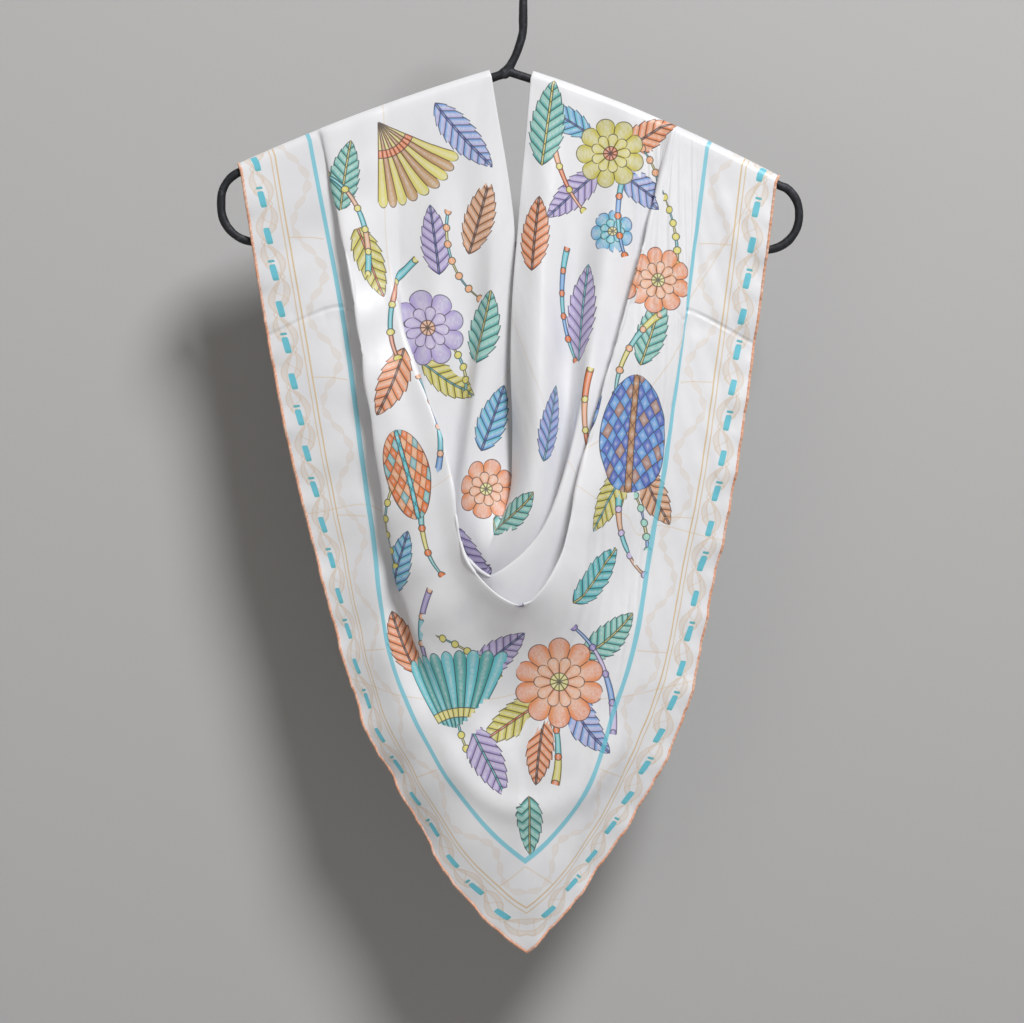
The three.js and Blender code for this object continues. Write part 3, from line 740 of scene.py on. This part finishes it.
def motif_away(kind, x, y, span, width):
    """Distance of each place from a motif, in metres; negative inside it."""
    if kind in (LEAF, POD):
        return np.maximum(np.abs(x) - span / 2, np.abs(y) - span * width * 1.25)
    if kind == BLOSSOM:
        return np.hypot(x, y) - span
    centre = x + (span / 2 if kind == FAN else span)
    radius, angle = np.hypot(centre, y), np.abs(np.arctan2(y, centre))
    beside = radius - span if kind == FAN else np.abs(radius - span) - 0.003
    return np.maximum(beside, (angle - width) * radius)


def carry_print(mesh, points, flat, order):
    """Gives each vertex the local place, shape and dyes of the motif that it lies in, in each layer.

    Local places are measured on the hanging cloth from the motif's middle: over folds down its column and along
    the rows, and straight across where the cloth is nearly flat."""
    cloth = points * MM
    across = path_length(cloth, 1)
    steps = [np.gradient(cloth, axis=axis) for axis in (0, 1)]
    below, beside = (step / np.maximum(np.linalg.norm(step, axis=-1, keepdims=True), 1e-9) for step in steps)
    lean = np.sum(below * beside, -1)
    length = np.linalg.norm(steps[0], axis=-1)
    normal = normals_of(cloth)
    whole = len(order)
    for layer, motifs in MOTIFS.items():
        place, shape = np.zeros((whole, 3)), np.ones((whole, 3))
        size, dyes = np.full(whole, 0.05), np.ones((3, whole, 3))
        nearest, next_one = np.full(whole, FAR_OFF), np.full(whole, FAR_OFF)
        for kind, a, b, turn, reach, width, count, names in motifs:
            span = reach * CM
            for half in (1, -1):
                away = np.linalg.norm(flat - np.array([a, b * half]) * CM, axis=-1)
                j, i = np.unravel_index(np.argmin(away), away.shape)
                if away[j, i] > MOTIF_REACH:
                    continue
                slide = np.cumsum(length[:, i] * lean[:, i])
                fall = np.cumsum(length[:, i] * np.sqrt(1 - lean[:, i] ** 2))
                level = across - across[:, i : i + 1] + (slide - slide[j])[:, None]
                height = np.broadcast_to((fall[j] - fall)[:, None], level.shape)
                near = np.hypot(level, height) < span * FLAT_REACH[kind] + MOTIF_MARGIN
                across_way = beside[j, i]
                if (normal[near] @ normal[j, i]).min() > FLAT_ENOUGH:
                    upright = np.cross(normal[j, i], across_way)
                    straight = cloth - cloth[j, i]
                    level = np.where(near, straight @ across_way, level)
                    height = np.where(near, straight @ upright, height)
                angle = math.radians(turn) - math.atan2(across_way[2], across_way[0])
                x = (level * math.cos(angle) + height * math.sin(angle)).ravel()[order]
                y = (height * math.cos(angle) - level * math.sin(angle)).ravel()[order]
                away = motif_away(kind, x, y, span, width)
                closer = away < nearest
                next_one = np.where(closer, nearest, np.minimum(next_one, away))
                nearest = np.where(closer, away, nearest)
                place[closer] = np.stack([x, y, away <= MOTIF_MARGIN], -1)[closer]
                shape[closer] = (kind, count, width)
                size[closer] = span
                for number, name in enumerate(names.split()):
                    dyes[number, closer] = DYES[name]
        place[next_one - nearest < MOTIF_MARGIN, 2] = 0
        measures = {"place": place, "shape": shape, "first": dyes[0], "second": dyes[1], "accent": dyes[2]}
        for name, values in measures.items():
            made = mesh.attributes.new(f"motif_{name}_{layer}", "FLOAT_VECTOR", "POINT")
            made.data.foreach_set("vector", values.astype(np.float32).ravel())
        made = mesh.attributes.new(f"motif_size_{layer}", "FLOAT", "POINT")
        made.data.foreach_set("value", size.astype(np.float32))


def grid_piece(name, points, uv, material, closed=False):
    """A mesh through points[row, column] in millimetres with its UV, and the place in the grid of each vertex.

    closed joins the last column to the first and caps the ends."""
    rows, columns = points.shape[:2]
    bm = bmesh.new()
    bmesh.ops.create_grid(bm, x_segments=columns - 1, y_segments=rows - 1, size=1)
    layer = bm.loops.layers.uv.new("flat_cut")
    order = []
    for vert in bm.verts:
        i = round((vert.co.x + 1) / 2 * (columns - 1))
        j = round((1 - vert.co.y) / 2 * (rows - 1))
        order.append(j * columns + i)
        place = (float(uv[j, i, 0]), float(uv[j, i, 1]))
        for loop in vert.link_loops:
            loop[layer].uv = place
        vert.co = Vector(points[j, i]) * MM
    if closed:
        bmesh.ops.remove_doubles(bm, verts=bm.verts, dist=1e-7)
        bmesh.ops.holes_fill(bm, edges=[e for e in bm.edges if e.is_boundary], sides=0)
        bmesh.ops.recalc_face_normals(bm, faces=bm.faces)
    mesh = bpy.data.meshes.new(name)
    bm.to_mesh(mesh)
    bm.free()
    mesh.shade_smooth()
    mesh.materials.append(material)
    piece = bpy.data.objects.new(name, mesh)
    bpy.context.scene.collection.objects.link(piece)
    return piece, order


def cloth_piece(name, points, flat, material):
    """A sheet of silk with the print's measures on it and its thickness added."""
    piece, order = grid_piece(name, points, flat, material)
    carry_print(piece.data, points, flat, np.array(order))
    shell = piece.modifiers.new("silk_thickness", "SOLIDIFY")
    shell.thickness = SILK * MM
    shell.offset = 0
    return piece


def finer(path, step):
    """A path resampled smoothly at about even steps."""
    run = path_length(path, 0)
    count = int(run[-1] / step)
    here = np.linspace(0, run[-1], count + 1)
    return np.stack([np.interp(here, run, path[:, k]) for k in range(3)], -1), here


def rod_points(path, radius, sides):
    """Rings of points round a path; the ring is carried along without twisting."""
    tangent = np.gradient(path, axis=0)
    tangent /= np.linalg.norm(tangent, axis=1, keepdims=True)
    out = np.empty((len(path), sides + 1, 3))
    up = np.array([0.0, -1.0, 0.0])
    for k, t in enumerate(tangent):
        up = up - t * (up @ t)
        up /= np.linalg.norm(up)
        beside = np.cross(t, up)
        turn = np.linspace(0, 2 * np.pi, sides + 1)
        out[k] = path[k] + radius[k] * (np.outer(np.cos(turn), up) + np.outer(np.sin(turn), beside))
    return out


def hem_piece(name, edge, radius, material):
    """A hand-rolled hem along an edge of the cloth, a little uneven, with its length as UV."""
    path, run = finer(edge, 1.6)
    sides = 8
    thick = radius * (1 + 0.1 * np.sin(run * 1.9) + 0.08 * np.sin(run * 0.73 + 1))
    rings = rod_points(path, thick, sides)
    uv = np.stack([np.repeat(run[:, None] * MM, sides + 1, 1),
                   np.repeat(np.linspace(0, 1, sides + 1)[None], len(run), 0)], -1)
    return grid_piece(name, rings, uv, material, closed=True)[0]


# The storage crease across the border, and the round swell of the panel under the swag, in millimetres.
CREASE_HEIGHT = -266
CREASE_RUN = 33
SWELL_MIDDLE = (24, -556)
SWELL_RADII = (60, 58)


def waves(place, *terms):
    """Sine waves added up, each with its height, its length per radian and its shift."""
    return sum(height * np.sin(place / length + shift) for height, length, shift in terms)


def crumple(points, flat):
    """Small unevenness: a rippled hem, soft waves, fine pleats, a round swell and storage creases."""
    normal = normals_of(points)
    inset = edge_distance(flat) / MM
    from_hem = np.maximum(inset, 0)
    a, b = flat[..., 0] / MM, flat[..., 1] / MM
    run = (np.abs(a) - np.abs(b)) / math.sqrt(2)
    side = np.sign(a) * 1.7
    x, height = points[..., 0], points[..., 2]
    across, drop = path_length(points, 1), path_length(points, 0)
    panel = np.clip((165 - inset) / 60, 0, 1)

    ripple = np.exp(-from_hem / 14) * waves(run, (1, 9, side), (0.8, 4.3, 2 * side), (0.5, 2.1, 0))
    wide = np.exp(-from_hem / 55) * waves(run, (1.5, 31, side * 2), (0.9, 17, side))
    drift = 0.5 * np.sin(a / 23 + b / 41 + 1) + 0.4 * np.sin(a / 37 - b / 19) + 0.25 * np.sin(a / 11 + b / 13)
    pleat = 0.9 * np.sin(across / 8.5 + drop / 60) + 0.7 * np.sin(across / 5.1 - drop / 45 + 1)
    off_crease = np.abs(height - CREASE_HEIGHT + 0.03 * x)
    crease = np.exp(-off_crease / 2.2) * np.exp(-np.maximum(inset - 45, 0) / 12)
    dent = np.exp(-np.abs(run - CREASE_RUN - inset * 0.35) / 4.5) * np.exp(-from_hem / 9)
    bowl = np.hypot((x - SWELL_MIDDLE[0]) / SWELL_RADII[0], (height - SWELL_MIDDLE[1]) / SWELL_RADII[1])
    swell = np.exp(-(((bowl - 1) / 0.16) ** 2)) * np.clip((-545 - height) / 25, 0, 1) * panel
    out = ripple * 1.15 + wide + drift * (0.7 + panel) + pleat * panel * 0.38
    out += swell * 3.5 - crease * 1.7 - dent * 3
    from_arm = np.minimum(across, path_length(points[:, ::-1], 1)[:, ::-1])
    held = np.clip((from_arm - 8) / 40, 0, 1)
    return points + normal * (out * held)[..., None]


def tail_sheet(side):
    """The doubled corner behind an arm: its outer layer, the turn of the fold and its inner layer."""
    tail, arm = TAILS[side], ARMS[side]
    sign = arm["sign"]
    parts = np.linspace(1, 0, TAIL_COLUMNS)
    turns = np.radians([30, 60, 90, 120, 150])
    middle = (OUTER_LAYER + INNER_LAYER) / 2
    fold = LAYER_STEP / 2
    part = np.concatenate([parts, np.zeros(len(turns)), parts[::-1]])
    flat_layer = np.ones(TAIL_COLUMNS)
    layer = np.concatenate([flat_layer * OUTER_LAYER, middle + fold * np.cos(turns), flat_layer * INNER_LAYER])
    beside = np.concatenate([flat_layer * 0, -sign * fold * np.sin(turns), flat_layer * 0])
    front = np.concatenate([flat_layer, np.cos(turns), -flat_layer])
    top_x = tail["neck_x"] + (tail["hem_x"] - tail["neck_x"]) * part
    neck_cut = np.array([sign * NECK_CUT, 0.0])
    hem_cut = np.array([sign * HEM_CUT, HALF_DIAGONAL - HEM_CUT])
    corner = np.array([sign * HALF_DIAGONAL, 0.0])
    over_rod = neck_cut + (hem_cut - neck_cut) * part[:, None]
    rows, flats = [], []
    for turn in np.linspace(90, 180, OVER_ROD_ROWS):
        rows.append(wrap_point(arm, top_x, layer, turn) + np.outer(beside, (1, 0, 0)))
        flats.append(over_rod)
    for step in range(1, TAIL_ROWS + 1):
        down = step / TAIL_ROWS
        tip_x = tail["tip"][0] + sign * TAIL_TIP_WIDTH * (part - 0.5)
        x = top_x + (tip_x - top_x) * down + beside
        top = arm_axis(arm, top_x)[0]
        z = top + (tail["tip"][1] - top) * down
        swell = np.sin(np.pi / 2 * min(down * 1.15, 1)) * (1 - down**4)
        ripple = TAIL_RIPPLE * swell * (1 - np.cos(2 * np.pi * tail["folds"] * part)) / 2
        rows.append(np.stack([x, layer + ripple, z], -1))
        flats.append(over_rod * (1 - down) + corner * down)
    flat = np.stack(flats)
    flat[..., 1] *= front
    return np.stack(rows), flat


def arc(x, z, radius, start, end, steps):
    """Points on an arc in the plane of the hanger, between two turns in degrees."""
    turn = np.radians(np.linspace(start, end, steps + 1))
    return [*np.stack([x + radius * np.cos(turn), 0 * turn, z + radius * np.sin(turn)], -1)]


def in_plane(places):
    """Points in the plane of the hanger at places (x, z)."""
    return [np.array([x, 0.0, z]) for x, z in places]


def hanger_paths():
    """Centre lines of the rod: the hook with its stem, the closed frame from arm to arm, and the weld."""
    hook = arc(0, CROWN_HEIGHT, CROWN_RADIUS, 215, 0, 40) + in_plane(STEM)
    halves = []
    for arm in ARMS.values():
        sign, end_x, radius = arm["sign"], arm["end_x"], arm["end_radius"]
        outer_x, outer_z = arm["outer"]
        up = arm_axis(arm, outer_x)[1]
        leaves = math.degrees(math.atan2(up[1], up[0]))
        beside, below = (0, -90) if sign > 0 else (180, 270)
        half = in_plane((x, arm_axis(arm, x)[0]) for x in np.linspace(arm["start"], outer_x, 30))
        shoulder = end_x - sign * SHOULDER_RADIUS, outer_z - SHOULDER_RADIUS * up[1]
        half += arc(*shoulder, SHOULDER_RADIUS, leaves, beside, 10)[1:]
        half += arc(end_x - sign * radius, arm["bar"] + radius, radius, beside, below, 14)
        halves.append(half)
    left, right = halves
    bar = [left[-1] + (right[-1] - left[-1]) * t for t in np.linspace(0.1, 0.9, 9)]
    return [np.stack(path) for path in (hook, left + bar + right[::-1], in_plane(WELD_RUN))]


def forged_hanger(material):
    """The whole hanger as one welded rod with the unevenness of hammered iron."""
    whole = bmesh.new()
    for number, path in enumerate(hanger_paths()):
        gaps = np.linalg.norm(np.diff(path, axis=0), axis=1)
        line = thread(path[:, None], [max(2, int(gap / 2)) for gap in gaps])[:, 0]
        run = path_length(line, 0)
        uneven = 0.10 * np.sin(run / 7.3 + number) + 0.07 * np.sin(run / 3.1) + 0.05 * np.sin(run / 1.7 + 2)
        rings = rod_points(line, ROD_RADIUS - 0.05 + uneven, 20)
        piece, _ = grid_piece(f"rod_{number}", rings, np.zeros((*rings.shape[:2], 2)), material, closed=True)
        whole.from_mesh(piece.data)
        bpy.data.objects.remove(piece)
    for place, radius in WELD_BEADS:
        ball = bmesh.ops.create_uvsphere(whole, u_segments=24, v_segments=16, radius=radius * MM)
        bmesh.ops.translate(whole, verts=ball["verts"], vec=Vector(place) * MM)
    mesh = bpy.data.meshes.new("forged_hanger")
    whole.to_mesh(mesh)
    whole.free()
    raw = bpy.data.objects.new("raw_hanger", mesh)
    bpy.context.scene.collection.objects.link(raw)
    weld = raw.modifiers.new("weld", "REMESH")
    weld.mode = "VOXEL"
    weld.voxel_size = WELD_GRAIN * MM
    weld.use_smooth_shade = True
    soft = raw.modifiers.new("soft", "SMOOTH")
    soft.iterations = 3
    done = bpy.data.meshes.new_from_object(raw.evaluated_get(bpy.context.evaluated_depsgraph_get()))
    bpy.data.objects.remove(raw)
    done.name = "forged_hanger"
    done.materials.clear()
    done.materials.append(material)
    done.shade_smooth()
    hanger = bpy.data.objects.new("forged_hanger", done)
    bpy.context.scene.collection.objects.link(hanger)
    return hanger


def belongs(piece, slot, *nodes):
    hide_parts(*nodes)
    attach(piece, "root")


def rear_layer(front, normals, end):
    """The rear layer inside the front one, down to a row; it keeps clear of the front layer near the rods."""
    back = (front - normals * LAYER_STEP)[:end]
    clear_out = np.maximum(back[..., 1], front[:end, :, 1] + LAYER_STEP)
    back[..., 1] = np.where(back[..., 1] > -INNER_LAYER, clear_out, back[..., 1])
    return back


def neck_turn(front, normals):
    """The round turn of the fold along the neck, as rows above the front layer."""
    edge = np.cross(normals[0], np.gradient(front[0], axis=0))
    edge /= np.linalg.norm(edge, axis=-1, keepdims=True)
    centre = front[0] - normals[0] * LAYER_STEP / 2
    return np.stack([
        centre + (edge * math.sin(turn) + normals[0] * math.cos(turn)) * LAYER_STEP / 2
        for turn in np.radians([135, 90, 45])
    ])


silk, salmon, iron = silk_finish(), hem_finish(), iron_finish()

positions = cloth_positions(CLOTH_COLUMNS)
front, front_knots = drape(FRONT_ROWS, positions, CLOTH_ROWS, OUTER_LAYER)
row_index = dict(zip([row["name"] for row in FRONT_ROWS], front_knots))
line_row, hem_row = row_index["printed line"], row_index["hem"]
front_flat = flat_places(front, line_row, 1)
front = crumple(front, front_flat)
front_normals = normals_of(front)
rear_end = int(line_row + (hem_row - line_row) * REAR_STOP) + 1
rear_line = int(line_row - (hem_row - line_row) * (1 - REAR_STOP))
back = rear_layer(front, front_normals, rear_end)
back_flat = flat_places(back, rear_line, -1)
turn_rows = neck_turn(front, front_normals)
front_sheet = np.concatenate([turn_rows, front])
front_sheet_flat = np.concatenate([np.repeat(front_flat[:1], len(turn_rows), 0), front_flat])

silk_front = cloth_piece("silk_front", front_sheet, front_sheet_flat, silk)
silk_back = cloth_piece("silk_back", back, back_flat, silk)
belongs(silk_front, "silk", "front_fall")
belongs(silk_back, "silk", "back_fall")
hem_front = hem_piece("rolled_hem_front", front[-1], 1.0, salmon)
hem_back = hem_piece("rolled_hem_back", back[-1], 0.8, salmon)
belongs(hem_front, "hem", "front_hem")
belongs(hem_back, "hem", "back_hem")
for side in ("left", "right"):
    points, flat = tail_sheet(side)
    tail = cloth_piece(f"silk_{side}_tail", points, flat, silk)
    belongs(tail, "silk", f"{side}_tail")
    for layer, column in (("front", 0), ("back", -1)):
        hem = hem_piece(f"rolled_hem_{side}_tail_{layer}", points[:, column], 0.75, salmon)
        belongs(hem, "hem", f"{side}_tail_{layer}_hem")
hanger = forged_hanger(iron)
belongs(hanger, "iron", "hanger_hook", "hanger_left_arm", "hanger_right_arm", "hanger_bar")


def backdrop():
    """A plain wall behind the hanger that runs down in a round cove to a pale floor."""
    bm = bmesh.new()
    bmesh.ops.create_grid(bm, x_segments=1, y_segments=40, size=1)
    wall_y, floor_z, cove = 0.1, -1.5, 0.5
    for vert in bm.verts:
        step = (vert.co.y + 1) / 2 * 40
        if step < 1:
            y, z = -3.0, floor_z
        elif step > 39:
            y, z = wall_y, 1.6
        else:
            turn = (step - 1) / 38 * math.pi / 2
            y = wall_y - cove + cove * math.sin(turn)
            z = floor_z + cove - cove * math.cos(turn)
        vert.co = Vector((vert.co.x * 3, y, z))
    mesh = bpy.data.meshes.new("studio_wall")
    bm.to_mesh(mesh)
    bm.free()
    mesh.shade_smooth()
    wall = bpy.data.objects.new("studio_wall", mesh)
    bpy.context.scene.collection.objects.link(wall)
    f = Finish("studio_paint", Roughness=0.9)
    f.wear("Base Color", (0.45, 0.45, 0.45))
    mesh.materials.append(f.seen_from_front())


backdrop()


def lamp(name, place, aim, size, power, colour):
    data = bpy.data.lights.new(name, "AREA")
    data.shape = "DISK"
    data.size = size
    data.energy = power
    data.color = colour
    light = bpy.data.objects.new(name, data)
    light.location = place
    light.rotation_euler = (Vector(aim) - Vector(place)).to_track_quat("-Z", "Y").to_euler()
    bpy.context.scene.collection.objects.link(light)


lamp("key_softbox", (1.35, -2.72, 2.58), (0, 0, -0.4), 1.3, 158, (0.985, 0.99, 1))
lamp("back_softbox", (-0.7, 2.6, 0.5), (0, 0, -0.4), 1.4, 80, (1, 1, 1))
lamp("fill_softbox", (-1.6, -2.2, -0.9), (0, 0, -0.45), 1.6, 5.5, (1, 0.98, 0.96))
world = bpy.data.worlds.new("studio_air")
world.use_nodes = True
world.node_tree.nodes["Background"].inputs["Color"].default_value = (1, 0.92, 0.82, 1)
world.node_tree.nodes["Background"].inputs["Strength"].default_value = 0.2
bpy.context.scene.world = world
bpy.context.scene.view_settings.view_transform = "Standard"
